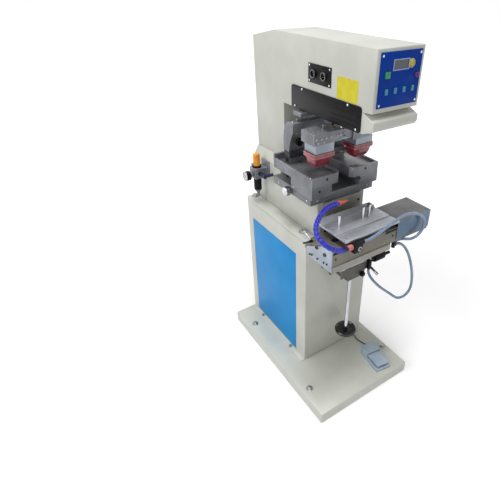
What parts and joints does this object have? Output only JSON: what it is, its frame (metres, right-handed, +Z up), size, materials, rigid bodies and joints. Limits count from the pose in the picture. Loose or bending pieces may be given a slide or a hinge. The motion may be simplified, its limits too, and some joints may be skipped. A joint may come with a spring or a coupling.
{
  "type": "pad printing machine",
  "caption": "Floor-standing pneumatic pad printing machine with open ink trays, shuttle table, lift screw, control head, air regulator and foot pedal.",
  "frame": {"origin": "underside of the base plate, on the column's centre line, on the floor", "axes": "+Z up; the operator stands at -Y and +X is at the operator's right"},
  "size_m": [0.534, 0.75, 1.4],
  "materials": {
    "cream_paint": "satin",
    "blue_paint": "satin",
    "panel_blue": "matte",
    "black_plastic": "satin",
    "steel": "brushed",
    "dark_steel": "blackened",
    "aluminium": "machined",
    "chrome": "polished",
    "red_silicone": "satin",
    "blue_hose": "satin",
    "orange_plastic": "satin",
    "clear_tube": "glossy",
    "yellow_plastic": "glossy",
    "green_plastic": "glossy",
    "red_plastic": "glossy",
    "teal_plastic": "glossy",
    "grey_plastic": "satin"
  },
  "bodies": {
    "frame": {"base_plate": "cream_paint", "cabinet_shell": "cream_paint", "cabinet_lid": "cream_paint", "cabinet_controls": "dark_steel", "body_casting": "cream_paint", "head_shell": "cream_paint", "control_panel": "panel_blue", "side_plate": "black_plastic", "socket_plate": "black_plastic", "stroke_guide": "steel", "tray_support": "steel", "ink_tray_left": "steel", "ink_tray_right": "steel", "cliche_plate_left": "chrome", "cliche_plate_right": "chrome", "table_guide": "steel", "regulator_body": "aluminium", "regulator_gauge": "black_plastic", "regulator_bowl": "black_plastic", "pedal_base": "grey_plastic", "pedal_cable": "black_plastic"},
    "door": {"cabinet_door": "blue_paint"},
    "button_yellow": {"button_yellow": "yellow_plastic"},
    "button_green": {"button_green": "green_plastic"},
    "button_red": {"button_red": "red_plastic"},
    "key_1": {"key_1": "teal_plastic"},
    "key_2": {"key_2": "teal_plastic"},
    "key_3": {"key_3": "teal_plastic"},
    "key_4": {"key_4": "teal_plastic"},
    "carriage": {"carriage": "aluminium"},
    "pad_lift": {"pad_arms": "aluminium", "pad_left": "red_silicone", "pad_right": "red_silicone"},
    "blades": {"blade_beam": "aluminium", "blade_holder_left": "dark_steel", "blade_holder_right": "dark_steel"},
    "blade_knob_left": {"blade_knob_left": "dark_steel"},
    "blade_knob_right": {"blade_knob_right": "dark_steel"},
    "tray_knob_left": {"tray_knob_left": "chrome"},
    "tray_knob_right": {"tray_knob_right": "chrome"},
    "table": {"table_knee": "dark_steel"},
    "handwheel": {"lift_handwheel": "black_plastic"},
    "lock_knob": {"lock_knob": "black_plastic"},
    "clamp_lever": {"clamp_lever": "chrome"},
    "cross_slide": {"cross_slide": "aluminium", "bed_plate": "steel", "shuttle_body": "steel", "shuttle_end_plate": "aluminium", "shuttle_hood": "steel", "shuttle_cylinder": "aluminium", "air_block": "black_plastic", "coolant_hose": "blue_hose", "hose_nozzle": "orange_plastic", "air_tube_loop": "clear_tube", "air_tube_drop": "clear_tube"},
    "cross_knob": {"cross_knob": "black_plastic"},
    "shuttle": {"shuttle_plate": "aluminium", "shuttle_piston": "chrome"},
    "regulator_cap": {"regulator_cap": "yellow_plastic"},
    "treadle": {"pedal_treadle": "grey_plastic"}
  },
  "joints": [
    {"name": "door_swing", "type": "hinge", "parent": "frame", "child": "door", "pos_m": [-0.1635, 0.3205, 0.0665], "axis": [0, 0, -1], "range_deg": [0, 100]},
    {"name": "handwheel_turn", "type": "hinge", "parent": "table", "child": "handwheel", "pos_m": [0, -0.179, 0.229], "axis": [0, 0, 1], "range_deg": [-2521, 1801]},
    {"name": "table_lift", "type": "slide", "parent": "frame", "child": "table", "axis": [0, 0, 1], "range_m": [-0.035, 0.025]},
    {"name": "cross_knob_turn", "type": "hinge", "parent": "cross_slide", "child": "cross_knob", "pos_m": [0.0693, -0.198, 0.596], "axis": [1, 0, 0], "range_deg": [-1801, 1801]},
    {"name": "cross_slide_move", "type": "slide", "parent": "table", "child": "cross_slide", "axis": [1, 0, 0], "range_m": [-0.01, 0.01]},
    {"name": "shuttle_move", "type": "slide", "parent": "cross_slide", "child": "shuttle", "axis": [1, 0, 0], "range_m": [0, 0.18]},
    {"name": "carriage_stroke", "type": "slide", "parent": "frame", "child": "carriage", "axis": [0, -1, 0], "range_m": [0, 0.15]},
    {"name": "pad_lift", "type": "slide", "parent": "carriage", "child": "pad_lift", "axis": [0, 0, -1], "range_m": [0, 0.022]},
    {"name": "blade_lift", "type": "slide", "parent": "carriage", "child": "blades", "axis": [0, 0, 1], "range_m": [0, 0.006]},
    {"name": "blade_knob_left_turn", "type": "hinge", "parent": "blades", "child": "blade_knob_left", "pos_m": [-0.1, 0.05, 1.047], "axis": [0, -1, 0], "range_deg": [-720, 720]},
    {"name": "blade_knob_right_turn", "type": "hinge", "parent": "blades", "child": "blade_knob_right", "pos_m": [0.1, 0.05, 1.047], "axis": [0, -1, 0], "range_deg": [-720, 720]},
    {"name": "tray_knob_left_turn", "type": "hinge", "parent": "frame", "child": "tray_knob_left", "pos_m": [-0.155, 0.032, 0.87], "axis": [-1, 0, 0], "range_deg": [-720, 720]},
    {"name": "tray_knob_right_turn", "type": "hinge", "parent": "frame", "child": "tray_knob_right", "pos_m": [0.155, 0.032, 0.87], "axis": [1, 0, 0], "range_deg": [-720, 720]},
    {"name": "lock_knob_turn", "type": "hinge", "parent": "table", "child": "lock_knob", "pos_m": [0.02, -0.221, 0.5595], "axis": [0, -1, 0], "range_deg": [-360, 360]},
    {"name": "clamp_lever_turn", "type": "hinge", "parent": "table", "child": "clamp_lever", "pos_m": [0.0443, -0.19, 0.559], "axis": [1, 0, 0], "range_deg": [-20, 15]},
    {"name": "regulator_cap_turn", "type": "hinge", "parent": "frame", "child": "regulator_cap", "pos_m": [-0.155, 0.28, 0.8803], "axis": [0, 0, 1], "range_deg": [-540, 540]},
    {"name": "pedal_press", "type": "hinge", "parent": "frame", "child": "treadle", "pos_m": [0.11567, -0.22806, 0.0753], "axis": [0.9893, -0.1461, 0], "range_deg": [0, 6.5], "stiffness_Nm_per_rad": 2, "springref_deg": -8.59},
    {"name": "button_yellow_push", "type": "slide", "parent": "frame", "child": "button_yellow", "axis": [0, 1, 0], "range_m": [0, 0.0025], "stiffness_N_per_m": 400, "springref_m": -0.002},
    {"name": "button_green_push", "type": "slide", "parent": "frame", "child": "button_green", "axis": [0, 1, 0], "range_m": [0, 0.0025], "stiffness_N_per_m": 400, "springref_m": -0.002},
    {"name": "button_red_push", "type": "slide", "parent": "frame", "child": "button_red", "axis": [0, 1, 0], "range_m": [0, 0.0025], "stiffness_N_per_m": 400, "springref_m": -0.002},
    {"name": "key_1_push", "type": "slide", "parent": "frame", "child": "key_1", "axis": [0, 1, 0], "range_m": [0, 0.0015], "stiffness_N_per_m": 400, "springref_m": -0.002},
    {"name": "key_2_push", "type": "slide", "parent": "frame", "child": "key_2", "axis": [0, 1, 0], "range_m": [0, 0.0015], "stiffness_N_per_m": 400, "springref_m": -0.002},
    {"name": "key_3_push", "type": "slide", "parent": "frame", "child": "key_3", "axis": [0, 1, 0], "range_m": [0, 0.0015], "stiffness_N_per_m": 400, "springref_m": -0.002},
    {"name": "key_4_push", "type": "slide", "parent": "frame", "child": "key_4", "axis": [0, 1, 0], "range_m": [0, 0.0015], "stiffness_N_per_m": 400, "springref_m": -0.002}
  ],
  "couplings": [
    {"joint": "handwheel_turn", "follows": "table_lift", "rad_per_m": 1256.6},
    {"joint": "cross_knob_turn", "follows": "cross_slide_move", "rad_per_m": 3141.6}
  ]
}
